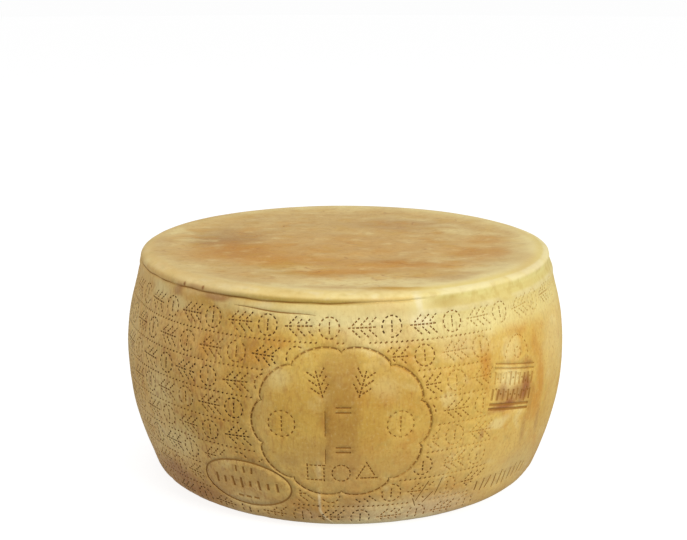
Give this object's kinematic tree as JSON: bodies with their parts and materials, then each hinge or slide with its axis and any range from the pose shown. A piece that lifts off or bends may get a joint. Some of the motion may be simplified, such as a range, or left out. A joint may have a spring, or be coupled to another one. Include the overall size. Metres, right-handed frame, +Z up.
{
  "type": "wheel of hard cheese",
  "caption": "Whole drum-shaped wheel of aged hard cheese with a bulging side, a rolled upper lip and mould marks sunk in its rind.",
  "frame": {"origin": "middle of the flat base, at the centre of the wheel's outline", "axes": "+Z up along the wheel's axis; the front, with the large medallion, faces -Y; +X is to the right seen from the front"},
  "size_m": [0.4192, 0.4202, 0.214],
  "materials": {
    "rind": "natural hard cheese rind, straw to ochre yellow with orange-brown patches, lightly oiled satin"
  },
  "bodies": {
    "root": {"wheel": "rind"}
  },
  "joints": []
}
